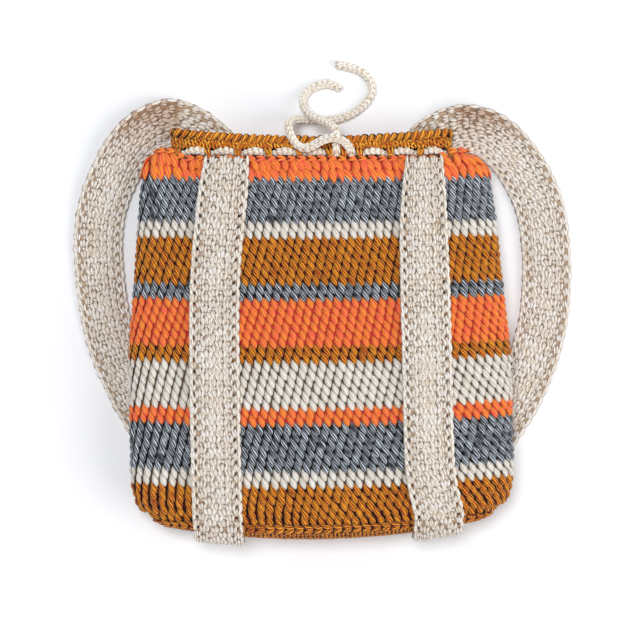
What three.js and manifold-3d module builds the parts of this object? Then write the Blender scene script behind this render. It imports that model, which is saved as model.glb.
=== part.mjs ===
// A crocheted drawstring backpack, empty and lying on its back with its shoulder straps spread out.
// Millimetres. The floor is z = 0, +Z is out of the bag's front, and +Y runs from the base to the mouth.
import * as THREE from "three";
import { mergeVertices } from "three/addons/utils/BufferGeometryUtils.js";
import Module from "manifold-3d";

const wasm = await Module();
wasm.setup();

// Driving dimensions of the body, which is worked in rounds from the base up. A row's height is taken at the bag's sides.
const ROW_HEIGHT = 5.98;
const BASE_WIDTH = 264;
const HIP_WIDTH = 292;
const BELLY_WIDTH = 300;
const WAIST_WIDTH = 288;
const SHOULDER_WIDTH = 272;
const GATHER_WIDTH = 246;
const MOUTH_WIDTH = 222;
const BASE_DEPTH = 48;
const BELLY_DEPTH = 56;
const SHOULDER_DEPTH = 35;
const MOUTH_DEPTH = 28;
const BASE_Y = -154.2;
const BASE_BULGE = 7;
const WALL = 5;
const SECTION_POWER = 2.5;

// How much lower a row lies in its middle than at its ends, how far the gathered top is drawn down,
// how much the mouth drops from left to right, and how far the mouth lies off the body's middle.
const BASE_SAG = 7;
const TOP_SAG = 1;
const MOUTH_SAG = 8.5;
const GATHER_DROP = 4;
const MOUTH_DROP = 4.5;
const MOUTH_SHIFT = -3;

// The stitches that show as diagonal ribs on the outside of the wall.
const FACETS_AROUND = 38;
const RIB_HEIGHT = 0.8;

// The mouth: an eyelet round for the drawstring, and the edging above it.
const EYELET_COUNT = 40;
const EYELET_HEIGHT = 7.5;
const EYELET_SHIFT = 13;
const EDGING_HEIGHT = 15;
const POST_WIDTH = 3.8;
const POST_THICKNESS = 1.6;

// The straps: one long strip each, from the front of the mouth round the base to the back of the mouth.
const STRAP_WIDTH = 39;
const STRAP_THICKNESS = 4;
const STRAP_RIB = 0.5;

// The drawstring: a flattened run laced through the eyelets, and two round free ends.
const LACE_THICKNESS = 1.6;
const LACE_HEIGHT = 4.8;
const CORD_DIAMETER = 6.5;
const EXIT_LEFT_EYELET = 9;
const EXIT_RIGHT_EYELET = 8;

const CLEARANCE = 0.3;
const BACK_LIFT = STRAP_THICKNESS + STRAP_RIB + RIB_HEIGHT + CLEARANCE;
const SPINE_HALF_WIDTH = 42;
const SPINE_FADE = 22;
const SPINE_LOW_ROW = 4;
const SPINE_HIGH_ROW = 33;
const SPINE_FADE_ROWS = 7;

const YARN = {
  mustard: { color: 0xb4671f, roughness: 0.9, metalness: 0 },
  cream: { color: 0xd5cab8, roughness: 0.9, metalness: 0 },
  grey: { color: 0x63656b, roughness: 0.9, metalness: 0 },
  orange: { color: 0xec6a39, roughness: 0.9, metalness: 0 },
};

// The colour bands, from the base up: node name, yarn and rounds.
const STRIPES = [
  ["stripe_01_mustard", "mustard", 5],
  ["stripe_02_cream", "cream", 2],
  ["stripe_03_grey", "grey", 6],
  ["stripe_04_orange", "orange", 2],
  ["stripe_05_cream", "cream", 6],
  ["stripe_06_mustard", "mustard", 2],
  ["stripe_07_orange", "orange", 6],
  ["stripe_08_grey", "grey", 2],
  ["stripe_09_mustard", "mustard", 6],
  ["stripe_10_cream", "cream", 2],
  ["stripe_11_grey", "grey", 6],
  ["stripe_12_orange", "orange", 3],
];
const BODY_ROWS = STRIPES.reduce((sum, [, , rounds]) => sum + rounds, 0);
const GATHER_ROW = BODY_ROWS - 3;
const EDGING_START_ROW = BODY_ROWS + EYELET_HEIGHT / ROW_HEIGHT;
const EYELET_ROWS = [BODY_ROWS + CLEARANCE / ROW_HEIGHT, EDGING_START_ROW + RIB_HEIGHT / ROW_HEIGHT];
const MOUTH_ROW = EDGING_START_ROW + EDGING_HEIGHT / ROW_HEIGHT;
const MOUTH_Y = BASE_Y + MOUTH_ROW * ROW_HEIGHT - GATHER_DROP;

// The bag's width and depth at rows up its height.
const PROFILE = [
  { row: 0, width: BASE_WIDTH, depth: BASE_DEPTH },
  { row: 2, width: HIP_WIDTH, depth: (BASE_DEPTH + BELLY_DEPTH) / 2 },
  { row: 6, width: BELLY_WIDTH, depth: BELLY_DEPTH },
  { row: 18, width: BELLY_WIDTH, depth: BELLY_DEPTH },
  { row: BODY_ROWS - 16, width: WAIST_WIDTH, depth: (BELLY_DEPTH + SHOULDER_DEPTH) / 2 },
  { row: GATHER_ROW, width: SHOULDER_WIDTH, depth: SHOULDER_DEPTH },
  { row: BODY_ROWS, width: GATHER_WIDTH, depth: (SHOULDER_DEPTH + MOUTH_DEPTH) / 2 },
  { row: EDGING_START_ROW, width: MOUTH_WIDTH, depth: MOUTH_DEPTH },
  { row: MOUTH_ROW, width: MOUTH_WIDTH, depth: MOUTH_DEPTH },
];

const ease = (t) => t * t * (3 - 2 * t);
const clamp01 = (t) => Math.min(1, Math.max(0, t));
const mix = (a, b, t) => a + (b - a) * t;

// A smooth value through [place, value] keys that never swings past them.
function through(keys, place) {
  const last = keys.length - 1;
  const secant = (k) => (keys[k + 1][1] - keys[k][1]) / (keys[k + 1][0] - keys[k][0]);
  const slope = (k) => {
    if (k === 0) return secant(0);
    if (k === last) return secant(last - 1);
    const [before, after] = [secant(k - 1), secant(k)];
    return before * after > 0 ? (2 * before * after) / (before + after) : 0;
  };
  if (place <= keys[0][0]) return keys[0][1];
  if (place >= keys[last][0]) return keys[last][1];
  const next = keys.findIndex(([at]) => at > place);
  const [[x0, y0], [x1, y1]] = [keys[next - 1], keys[next]];
  const [span, t] = [x1 - x0, (place - x0) / (x1 - x0)];
  const rise = span * (slope(next - 1) * t * (1 - t) ** 2 - slope(next) * t ** 2 * (1 - t));
  return mix(y0, y1, ease(t)) + rise;
}

const WIDTH_KEYS = PROFILE.map(({ row, width }) => [row, width]);
const DEPTH_KEYS = PROFILE.map(({ row, depth }) => [row, depth]);
const profileAt = (row) => ({ half: through(WIDTH_KEYS, row) / 2, depth: through(DEPTH_KEYS, row) });

// How far the back has sunk to the floor between the straps, from 0 to 1.
function spineSag(x, row) {
  const across = clamp01((SPINE_HALF_WIDTH + SPINE_FADE - Math.abs(x)) / SPINE_FADE);
  const up = clamp01((row - SPINE_LOW_ROW) / SPINE_FADE_ROWS);
  const down = clamp01((SPINE_HIGH_ROW - row) / SPINE_FADE_ROWS);
  return ease(across) * ease(Math.min(up, down));
}

function rowY(row, x, half) {
  const up = clamp01(row / BODY_ROWS);
  const edging = clamp01((row - EDGING_START_ROW) / (MOUTH_ROW - EDGING_START_ROW));
  const sag = mix(mix(BASE_SAG, TOP_SAG, up), MOUTH_SAG, edging);
  const drawn = GATHER_DROP * clamp01((row - GATHER_ROW) / (BODY_ROWS - GATHER_ROW));
  const drop = (MOUTH_DROP * up * x) / MOUTH_WIDTH;
  return BASE_Y + row * ROW_HEIGHT - drawn - sag * (1 - (x / half) ** 2) - drop;
}

// The closed outline of the wall at one row, inset from the outside, starting at the bag's right side.
function outline(row, inset) {
  const { half, depth } = profileAt(row);
  const [a, h] = [half - inset, depth / 2 - inset];
  const middle = BACK_LIFT + depth / 2;
  const points = [];
  const samples = 96;
  for (let k = 0; k < samples; k++) {
    const angle = (2 * Math.PI * k) / samples;
    const bend = (v) => Math.sign(v) * Math.abs(v) ** (2 / SECTION_POWER);
    points.push(new THREE.Vector3(a * bend(Math.cos(angle)), 0, middle + h * bend(Math.sin(angle))));
  }
  const curve = new THREE.CatmullRomCurve3(points, true);
  curve.arcLengthDivisions = 2 * samples;
  const shift = MOUTH_SHIFT * ease(clamp01((row - GATHER_ROW) / (BODY_ROWS - GATHER_ROW)));
  return (share) => {
    const p = curve.getPointAt(((share % 1) + 1) % 1);
    p.y = rowY(row, p.x, half);
    if (p.z < middle) p.z -= (BACK_LIFT + RIB_HEIGHT) * spineSag(p.x, row);
    p.x += shift;
    return p;
  };
}

// A ring of points on the outside of the wall. Every other point is raised, so the facets make diagonal ribs.
function outerRing(row, ribRow) {
  const [outside, inside] = [outline(row, 0), outline(row, WALL)];
  return Array.from({ length: FACETS_AROUND }, (_, i) => {
    const p = outside(i / FACETS_AROUND);
    const out = p.clone().sub(inside(i / FACETS_AROUND)).normalize();
    if ((i + ribRow) % 2 === 0) p.addScaledVector(out, RIB_HEIGHT);
    p.z = Math.max(p.z, 0);
    return p;
  });
}

function innerRing(row) {
  const inside = outline(row, WALL);
  return Array.from({ length: FACETS_AROUND }, (_, i) => {
    const p = inside(i / FACETS_AROUND);
    p.z = Math.max(p.z, WALL);
    return p;
  });
}

// A closed surface through rings of equal length. The last ring joins the first, or both ends are capped.
function skin(rings, joined) {
  const count = rings[0].length;
  const positions = [];
  const face = (a, b, c) => positions.push(...a.toArray(), ...b.toArray(), ...c.toArray());
  const last = joined ? rings.length : rings.length - 1;
  for (let j = 0; j < last; j++) {
    const [low, high] = [rings[j], rings[(j + 1) % rings.length]];
    for (let i = 0; i < count; i++) {
      const n = (i + 1) % count;
      face(low[i], low[n], high[i]);
      face(low[n], high[n], high[i]);
    }
  }
  if (!joined) {
    for (let i = 1; i < count - 1; i++) {
      face(rings[0][0], rings[0][i + 1], rings[0][i]);
      face(rings.at(-1)[0], rings.at(-1)[i], rings.at(-1)[i + 1]);
    }
  }
  const geometry = new THREE.BufferGeometry();
  geometry.setAttribute("position", new THREE.Float32BufferAttribute(positions, 3));
  return facingOut(geometry);
}

// Turns a closed surface right side out by the sign of its volume.
function facingOut(geometry) {
  const position = geometry.getAttribute("position");
  const corner = (i) => new THREE.Vector3().fromBufferAttribute(position, i);
  let volume = 0;
  for (let i = 0; i < position.count; i += 3) {
    volume += corner(i).dot(corner(i + 1).cross(corner(i + 2)));
  }
  if (volume < 0) {
    for (let i = 0; i < position.count; i += 3) {
      const [b, c] = [corner(i + 1), corner(i + 2)];
      position.setXYZ(i + 1, c.x, c.y, c.z);
      position.setXYZ(i + 2, b.x, b.y, b.z);
    }
  }
  geometry.computeVertexNormals();
  return geometry;
}

function solidOf(geometry) {
  const bare = geometry.clone();
  bare.deleteAttribute("normal");
  const merged = mergeVertices(bare, 1e-4);
  const vertProperties = merged.getAttribute("position").array;
  const triVerts = new Uint32Array(merged.index.array);
  return new wasm.Manifold(new wasm.Mesh({ numProp: 3, vertProperties, triVerts }));
}

function geometryOf(solid) {
  const mesh = solid.getMesh();
  const geometry = new THREE.BufferGeometry();
  geometry.setAttribute("position", new THREE.BufferAttribute(mesh.vertProperties, 3));
  geometry.setIndex(new THREE.BufferAttribute(mesh.triVerts, 1));
  geometry.computeVertexNormals();
  return geometry;
}

// A flat strip swept through stations. Each station is a row of places across it, with the way its face looks there.
function strip(stations, thickness, rib) {
  const rings = stations.map((row, j) => {
    const near = row.map(({ point, facing }) => point.clone().addScaledVector(facing, -thickness / 2));
    const far = row.map(({ point, facing }, k) => {
      const crest = (j + k) % 2 === 1 ? rib : 0;
      return point.clone().addScaledVector(facing, thickness / 2 + crest);
    });
    return [...near, ...far.reverse()];
  });
  return skin(rings, false);
}

// One colour band of the body: a ring of wall between two rows, with a seam gap to its neighbours.
function bandGeometry(startRow, rounds) {
  const gap = CLEARANCE / 2 / ROW_HEIGHT;
  const rings = [];
  for (let j = 0; j <= rounds; j++) {
    const nudge = j === 0 ? gap : j === rounds ? -gap : 0;
    rings.push(outerRing(startRow + j + nudge, startRow + j));
  }
  rings.push(innerRing(startRow + rounds - gap), innerRing(startRow + gap));
  return skin(rings, true);
}

// The base's outer face at a point of its outline drawn in by a share, from 1 at the edge to 0 in the middle.
const baseBulge = (share) => BASE_BULGE * Math.max(0, 1 - share ** 2);

// The base: a shallow dish whose edge stands out as a ridge round the bottom of the bag.
function baseGeometry() {
  const edge = outline(0, 0);
  const middle = BACK_LIFT + BASE_DEPTH / 2;
  const ring = (share, lift) =>
    Array.from({ length: FACETS_AROUND }, (_, i) => {
      const p = edge(i / FACETS_AROUND);
      const y = p.y - baseBulge(Math.min(1, share)) + lift;
      return new THREE.Vector3(p.x * share, y, middle + (p.z - middle) * share);
    });
  const top = -CLEARANCE / 2;
  const ridge = 1 + RIB_HEIGHT / (BASE_DEPTH / 2);
  const shares = [1, 0.9, 0.7, 0.4, 0.1];
  const inner = [0.1, 0.6, 1].map((share) => ring(share, top));
  const outer = shares.map((share) => ring(share, top - WALL));
  return skin([...inner, ring(ridge, top - WALL / 2), ...outer], false);
}

// The wall of the eyelet round, straight from the top of the body into the edging, at an inset from the outside.
function eyeletWall(inset) {
  const [low, high] = EYELET_ROWS.map((row) => outline(row, inset));
  return (share, up) => low(share).lerp(high(share), up);
}

// The mouth's edging, standing on posts that pass in front of the drawstring and behind it by turns.
function mouthGeometry() {
  const rings = [outerRing(EDGING_START_ROW, 0), outerRing(MOUTH_ROW, 1)];
  rings.push(innerRing(MOUTH_ROW), innerRing(EDGING_START_ROW));
  let solid = solidOf(skin(rings, true));
  const half = POST_WIDTH / mouthLength / 2;
  for (let k = 0; k < EYELET_COUNT; k++) {
    const near = k % 2 === 0 ? 0 : WALL - POST_THICKNESS;
    const [outer, inner] = [eyeletWall(near), eyeletWall(near + POST_THICKNESS)];
    const [a, b] = [postShare(k) - half, postShare(k) + half];
    const corners = (up) => [outer(a, up), outer(b, up), inner(b, up), inner(a, up)];
    solid = solid.add(solidOf(skin([corners(0), corners(1)], false)));
  }
  return geometryOf(solid);
}

const mouthLength = wallLength(EDGING_START_ROW);

function wallLength(row) {
  const around = outline(row, WALL / 2);
  let length = 0;
  for (let k = 0; k < 4 * FACETS_AROUND; k++) {
    length += around(k / (4 * FACETS_AROUND)).distanceTo(around((k + 1) / (4 * FACETS_AROUND)));
  }
  return length;
}

const postShare = (k) => k / EYELET_COUNT - EYELET_SHIFT / mouthLength;

// The laced run of the drawstring, behind the front posts and over the back ones, from one exit round to the other.
function laceGeometry() {
  const swing = (WALL - LACE_THICKNESS) / 2;
  const half = POST_WIDTH / mouthLength / 2;
  const [middle, inside] = [eyeletWall(WALL / 2), eyeletWall(WALL)];
  const edges = [-1, 1].map((way) => (1 + (way * LACE_HEIGHT) / EYELET_HEIGHT) / 2);
  const stations = [];
  for (let k = EXIT_LEFT_EYELET + 1; k <= EXIT_RIGHT_EYELET + EYELET_COUNT; k++) {
    for (const share of [postShare(k) - half, postShare(k) + half]) {
      const station = edges.map((up) => {
        const point = middle(share, up);
        const facing = point.clone().sub(inside(share, up)).setY(0).normalize();
        return { point: point.addScaledVector(facing, k % 2 === 0 ? -swing : swing), facing };
      });
      stations.push(station);
    }
  }
  return strip(stations, LACE_THICKNESS, 0);
}

// The middle of one eyelet in the thickness of the wall.
function eyelet(k) {
  return eyeletWall(WALL / 2)(postShare(k + 0.5), 0.5);
}

// Each strap's places. On the front: [row, across from the middle, width]. Over the floor, from the base's back edge
// to its end behind the mouth: [out past the bag's side, up from the base or from the mouth, roll in degrees].
const STRAPS = [
  {
    name: "strap_left",
    side: -1,
    front: [
      [47.5, 70, 0.9],
      [43, 73, 1],
      [37, 77.5, 1],
      [30, 81, 1],
      [22, 82, 1],
      [14, 82.4, 1],
      [8, 82.4, 1],
      [4, 82.4, 1],
      [1, 82.4, 1],
    ],
    fromBase: [
      [-54, 21, 0],
      [-29, 50, 0],
      [-4, 92, 0],
      [16, 139, 0],
      [24.5, 194, 0],
    ],
    fromMouth: [
      [23.5, -68, 2],
      [11.5, -33, 7],
      [-10.5, -2, 13],
      [-34.5, 8.5, 9],
      [-56, -0.5, 2],
      [-72, -16, 0],
      [-85, -36, 0],
    ],
  },
  {
    name: "strap_right",
    side: 1,
    front: [
      [47.5, 85, 0.74],
      [43, 84, 0.88],
      [37, 83, 0.97],
      [30, 83, 1],
      [22, 83, 1],
      [14, 83, 1],
      [8, 83.4, 1],
      [4, 86, 1],
      [1, 90, 1],
    ],
    fromBase: [
      [-46, 21, 0],
      [-20, 52, 0],
      [8, 92, 0],
      [27.5, 144, 0],
      [32.5, 199, 0],
    ],
    fromMouth: [
      [27.5, -64, 2],
      [12, -31, 7],
      [-8, -9, 13],
      [-30, -1.5, 9],
      [-48, -6, 2],
      [-64, -18, 0],
      [-78, -38, 0],
    ],
  },
];

// The front of the bag's body at a place across it, with the way that its surface faces.
function frontAt(x, row) {
  const height = (r, across) => {
    const { half, depth } = profileAt(r);
    const share = (1 - Math.abs(across / half) ** SECTION_POWER) ** (1 / SECTION_POWER);
    return BACK_LIFT + depth / 2 + (depth / 2) * share;
  };
  const { half } = profileAt(row);
  const step = 1;
  const slopeX = (height(row, x + step) - height(row, x - step)) / (2 * step);
  const slopeY = (height(row + step, x) - height(row - step, x)) / (2 * step * ROW_HEIGHT);
  const facing = new THREE.Vector3(-slopeX, -slopeY, 1).normalize();
  return { point: new THREE.Vector3(x, rowY(row, x, half), height(row, x)), facing };
}

// The base's outside at a place across it and a height, from 1 at its front edge to -1 at its back edge.
function baseAt(x, height) {
  const half = BASE_WIDTH / 2;
  const reach = baseReach(x);
  const out = (up) => {
    const rise = Math.abs((up * reach) / (BASE_DEPTH / 2));
    const share = (Math.abs(x / half) ** SECTION_POWER + rise ** SECTION_POWER) ** (1 / SECTION_POWER);
    return rowY(0, x, half) - WALL - CLEARANCE / 2 - baseBulge(share);
  };
  const step = 0.1;
  const slope = (out(height + step) - out(height - step)) / (2 * step * reach);
  const z = BACK_LIFT + BASE_DEPTH / 2 + reach * height;
  return { point: new THREE.Vector3(x, out(height), z), facing: new THREE.Vector3(0, -1, slope).normalize() };
}

// Half the base's depth at a place across it.
function baseReach(x) {
  const share = Math.abs(x / (BASE_WIDTH / 2)) ** SECTION_POWER;
  return (BASE_DEPTH / 2) * (1 - share) ** (1 / SECTION_POWER);
}

// The base's ridge at its front or back edge, facing out at the corner.
function ridgeAt(x, way) {
  const y = rowY(0, x, BASE_WIDTH / 2) - WALL / 2;
  const z = BACK_LIFT + BASE_DEPTH / 2 + way * (baseReach(x) + RIB_HEIGHT);
  return { point: new THREE.Vector3(x, y, z), facing: new THREE.Vector3(0, -1, way).normalize() };
}

function strapGeometry({ side, front, fromBase, fromMouth }) {
  const stand = STRAP_THICKNESS / 2 + RIB_HEIGHT + 2 * CLEARANCE;
  const floorZ = STRAP_THICKNESS / 2 + STRAP_RIB;
  const across = [-side, 0, side].map((way) => (way * STRAP_WIDTH) / 2);
  const stations = [];
  const lay = (x, share, rise, place) => {
    const row = across.map((offset) => place(x + offset * share));
    stations.push(row.map(({ point, facing }) => ({ point: point.addScaledVector(facing, rise), facing })));
  };

  for (const [row, x, share] of front) lay(side * x, share, stand, (at) => frontAt(at, row));
  const x = side * front.at(-1)[1];
  lay(x, 1, stand, (at) => ridgeAt(at, 1));
  for (const height of [0.88, 0.55, 0, -0.55, -0.88]) lay(x, 1, stand + CLEARANCE / 3, (at) => baseAt(at, height));
  lay(x, 1, stand, (at) => ridgeAt(at, -1));

  const start = stations.at(-1)[1].point;
  const keys = [{ point: new THREE.Vector3(x, start.y + 2 * stand, floorZ), roll: 0 }];
  const step = (y) => ([out, up, roll]) => {
    const lift = (STRAP_WIDTH / 2) * Math.sin(THREE.MathUtils.degToRad(roll));
    keys.push({ point: new THREE.Vector3(side * (BELLY_WIDTH / 2 + out), y + up, floorZ + lift), roll });
  };
  fromBase.forEach(step(BASE_Y));
  fromMouth.forEach(step(MOUTH_Y));
  keys.forEach(({ point, roll }, k) => {
    const after = keys[Math.min(k + 1, keys.length - 1)].point;
    const before = k ? keys[k - 1].point : point.clone().setY(point.y - 1);
    const along = after.clone().sub(before).setZ(0).normalize();
    const lean = THREE.MathUtils.degToRad(roll);
    const out = new THREE.Vector3(-along.y, along.x, 0).multiplyScalar(-side);
    const over = out.clone().multiplyScalar(Math.cos(lean)).setZ(Math.sin(lean));
    const facing = out.multiplyScalar(Math.sin(lean)).setZ(-Math.cos(lean));
    stations.push(across.map((offset) => ({ point: point.clone().addScaledVector(over, side * offset), facing })));
  });
  return strip(smoothed(stations), STRAP_THICKNESS, STRAP_RIB);
}

// Stations between the key ones, on smooth curves through them, none of them lower than the floor.
function smoothed(stations) {
  const steps = 2 * (stations.length - 1);
  const lines = stations[0].map((_, k) => {
    const route = new THREE.CatmullRomCurve3(stations.map((row) => row[k].point));
    const faces = new THREE.CatmullRomCurve3(stations.map((row) => row[k].facing));
    return Array.from({ length: steps + 1 }, (_, j) => {
      const point = route.getPoint(j / steps);
      point.z = Math.max(point.z, STRAP_THICKNESS / 2 + STRAP_RIB);
      return { point, facing: faces.getPoint(j / steps).normalize() };
    });
  });
  return lines[0].map((_, j) => lines.map((line) => line[j]));
}

// The free ends' routes, from their eyelets through the half knot and down onto the floor above the mouth.
const LEFT_END_ROUTE = [
  [16.4, 139.5, 38.4],
  [16.8, 145.5, 38.3],
  [15.6, 150.4, 36.6],
  [11.5, 154, 32.5],
  [4, 158, 26.5],
  [-3.9, 163, 20],
  [-8.5, 170, 12],
  [-9, 176.5, 6.6],
  [-5, 182.6, 4],
  [3.1, 187, 3.4],
  [11.6, 188.2, 3.4],
  [20.8, 184.4, 3.4],
];
const RIGHT_END_ROUTE = [
  [24.5, 138, 41.6],
  [15, 142.5, 46.6],
  [6, 140.8, 46.2],
  [-2, 137, 43],
  [-8.6, 135.2, 40.6],
  [-14.4, 138.4, 39],
  [-18.6, 145, 38.4],
  [-20.4, 150.8, 35.6],
  [-20.8, 154.4, 30],
  [-18.6, 157.8, 22],
  [-13, 159.6, 14],
  [-4, 159.4, 8.4],
  [8, 159, 5],
  [21.6, 160.8, 3.7],
  [32.4, 165.5, 3.4],
  [41.9, 173.6, 3.4],
  [46.4, 181.9, 3.4],
  [44.7, 190, 3.4],
  [38.5, 197, 3.4],
  [29, 200.9, 3.4],
  [18.7, 203, 3.4],
];
const CORD_SIDES = 8;
const CORD_STEP = CORD_DIAMETER;

function cordGeometry(exit, route) {
  const start = eyelet(exit);
  const outside = start.clone().add(new THREE.Vector3(0, 0, CORD_DIAMETER * 0.7));
  const path = new THREE.CatmullRomCurve3([start, outside, ...route.map((p) => new THREE.Vector3(...p))]);
  const section = new THREE.Shape();
  for (let k = 0; k < CORD_SIDES; k++) {
    const angle = (2 * Math.PI * (k + 0.5)) / CORD_SIDES;
    const [u, v] = [(CORD_DIAMETER / 2) * Math.cos(angle), (CORD_DIAMETER / 2) * Math.sin(angle)];
    if (k === 0) section.moveTo(u, v);
    else section.lineTo(u, v);
  }
  section.closePath();
  const steps = Math.round(path.getLength() / CORD_STEP);
  return new THREE.ExtrudeGeometry(section, { steps, extrudePath: path, curveSegments: 1 });
}

function piece(name, geometry, yarn) {
  const mesh = new THREE.Mesh(geometry, new THREE.MeshStandardMaterial(YARN[yarn]));
  mesh.name = name;
  return mesh;
}

const bag = new THREE.Group();
bag.add(piece("base", baseGeometry(), "mustard"));
let startRow = 0;
for (const [name, yarn, rounds] of STRIPES) {
  bag.add(piece(name, bandGeometry(startRow, rounds), yarn));
  startRow += rounds;
}
bag.add(piece("mouth_edging", mouthGeometry(), "mustard"));
bag.add(piece("drawstring_laced", laceGeometry(), "cream"));
for (const strap of STRAPS) bag.add(piece(strap.name, strapGeometry(strap), "cream"));

// The origin is under the middle of the bag and its straps, on the floor.
const extent = new THREE.Box3().setFromObject(bag);
const centre = extent.getCenter(new THREE.Vector3());
bag.add(piece("drawstring_end_left", cordGeometry(EXIT_LEFT_EYELET, LEFT_END_ROUTE), "cream"));
bag.add(piece("drawstring_end_right", cordGeometry(EXIT_RIGHT_EYELET, RIGHT_END_ROUTE), "cream"));
bag.position.set(-centre.x, -centre.y, -extent.min.z);

export default bag;
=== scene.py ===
"""A crocheted drawstring backpack, dressed stitch by stitch around its plain solids.

The frame is in metres, and the sizes named here are in millimetres. The bag lies on its back on the
floor, z = 0, with +Z out of its front and +Y from its base to its mouth.
"""
import math

import bmesh
import bpy
import numpy as np
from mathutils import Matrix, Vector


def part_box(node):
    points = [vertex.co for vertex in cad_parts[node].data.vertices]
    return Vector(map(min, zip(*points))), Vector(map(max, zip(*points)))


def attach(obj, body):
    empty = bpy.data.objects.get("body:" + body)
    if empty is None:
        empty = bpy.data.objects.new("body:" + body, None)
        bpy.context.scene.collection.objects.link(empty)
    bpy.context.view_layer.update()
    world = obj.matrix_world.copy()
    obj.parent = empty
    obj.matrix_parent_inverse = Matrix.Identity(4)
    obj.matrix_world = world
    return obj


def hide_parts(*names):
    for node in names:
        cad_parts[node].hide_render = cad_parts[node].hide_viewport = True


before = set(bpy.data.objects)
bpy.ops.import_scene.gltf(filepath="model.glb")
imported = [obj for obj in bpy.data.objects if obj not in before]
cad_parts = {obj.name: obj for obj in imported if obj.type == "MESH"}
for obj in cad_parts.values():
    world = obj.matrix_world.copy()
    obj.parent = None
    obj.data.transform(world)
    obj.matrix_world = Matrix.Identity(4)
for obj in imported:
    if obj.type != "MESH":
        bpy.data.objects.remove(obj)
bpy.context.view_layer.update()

MM = 0.001
draw = np.random.default_rng(12)

# The bag's rows of stitches, from the base up, and the wall's width and depth at some of them.
ROW_HEIGHT = 5.98
BASE_Y = -154.2
BODY_ROWS = 48
GATHER_ROW = BODY_ROWS - 3
EYELET_HEIGHT = 7.5
EDGING_HEIGHT = 15
EDGING_ROW = BODY_ROWS + EYELET_HEIGHT / ROW_HEIGHT
MOUTH_ROW = EDGING_ROW + EDGING_HEIGHT / ROW_HEIGHT
PROFILE_ROWS = [0, 2, 6, 18, 32, GATHER_ROW, BODY_ROWS, EDGING_ROW, MOUTH_ROW]
PROFILE_WIDTHS = [264, 292, 300, 300, 288, 272, 246, 222, 222]
PROFILE_DEPTHS = [48, 52, 56, 56, 45.5, 35, 31.5, 28, 28]
SECTION_POWER = 2.5
WALL = 5
BACK_LIFT = 5.6
BASE_BULGE = 7

# How much lower a row lies in its middle, how the gathered top and the mouth hang, and where the back
# has sunk.
BASE_SAG = 7
TOP_SAG = 1
MOUTH_SAG = 8.5
GATHER_DROP = 4
MOUTH_DROP = 4.5
MOUTH_WIDTH = 222
MOUTH_SHIFT = -3
SPINE_HALF_WIDTH = 42
SPINE_FADE = 22
SPINE_ROWS = [4, 11, 26, 33]
SPINE_SINK = 6.4

# Where the bag's own middle lies in the frame. The base is the same on both sides of it, and hangs from
# the body by a seam's gap.
BASE_SEAM = 0.15
BASE_LOWEST = BASE_Y - BASE_SAG - BASE_BULGE - WALL - BASE_SEAM
base_low, base_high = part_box("base")
BAG_X = (base_low.x + base_high.x) / 2 / MM
BAG_Y = base_low.y / MM - BASE_LOWEST

# The colour bands from the base up: node, yarn and rows of stitches.
STRIPES = [
    ("stripe_01_mustard", "mustard", 5),
    ("stripe_02_cream", "cream", 2),
    ("stripe_03_grey", "grey", 6),
    ("stripe_04_orange", "orange", 2),
    ("stripe_05_cream", "cream", 6),
    ("stripe_06_mustard", "mustard", 2),
    ("stripe_07_orange", "orange", 6),
    ("stripe_08_grey", "grey", 2),
    ("stripe_09_mustard", "mustard", 6),
    ("stripe_10_cream", "cream", 2),
    ("stripe_11_grey", "grey", 6),
    ("stripe_12_orange", "orange", 3),
]
STITCHES_AROUND = 87
ROW_DRIFT = 0.225
SECTION_STEPS = 1440


def ease(t):
    """A smooth step from 0 to 1."""
    t = np.clip(t, 0, 1)
    return t * t * (3 - 2 * t)


def through(values, row):
    """A smooth value through the profile's keys that never swings past them."""
    rows = PROFILE_ROWS
    row = min(max(row, rows[0]), rows[-1])
    steps = np.diff(values) / np.diff(rows)
    slopes = [steps[0]]
    for before, after in zip(steps[:-1], steps[1:]):
        slopes.append(2 * before * after / (before + after) if before * after > 0 else 0)
    slopes.append(steps[-1])
    k = min(int(np.searchsorted(rows, row, side="right")) - 1, len(rows) - 2)
    span = rows[k + 1] - rows[k]
    t = (row - rows[k]) / span
    rise = span * (slopes[k] * t * (1 - t) ** 2 - slopes[k + 1] * t**2 * (1 - t))
    return values[k] + (values[k + 1] - values[k]) * ease(t) + rise


def row_y(row, x, half):
    """How high up the bag a row lies at a place across it."""
    up = min(max(row / BODY_ROWS, 0), 1)
    edging = min(max((row - EDGING_ROW) / (MOUTH_ROW - EDGING_ROW), 0), 1)
    sag = BASE_SAG + (TOP_SAG - BASE_SAG) * up
    sag += (MOUTH_SAG - sag) * edging
    drawn = GATHER_DROP * min(max((row - GATHER_ROW) / (BODY_ROWS - GATHER_ROW), 0), 1)
    drop = MOUTH_DROP * up * x / MOUTH_WIDTH
    return BASE_Y + row * ROW_HEIGHT - drawn - sag * (1 - (x / half) ** 2) - drop


def section(row, inset=0):
    """The bag's outline at a row, about its own middle, with the length along it."""
    half, deep = through(PROFILE_WIDTHS, row) / 2, through(PROFILE_DEPTHS, row) / 2
    angle = np.linspace(0, 2 * np.pi, SECTION_STEPS + 1)
    power = 2 / SECTION_POWER
    x = (half - inset) * np.sign(np.cos(angle)) * np.abs(np.cos(angle)) ** power
    z = (deep - inset) * np.sign(np.sin(angle)) * np.abs(np.sin(angle)) ** power
    length = np.concatenate([[0], np.cumsum(np.hypot(np.diff(x), np.diff(z)))])
    return x, z, length, half, deep


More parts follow.
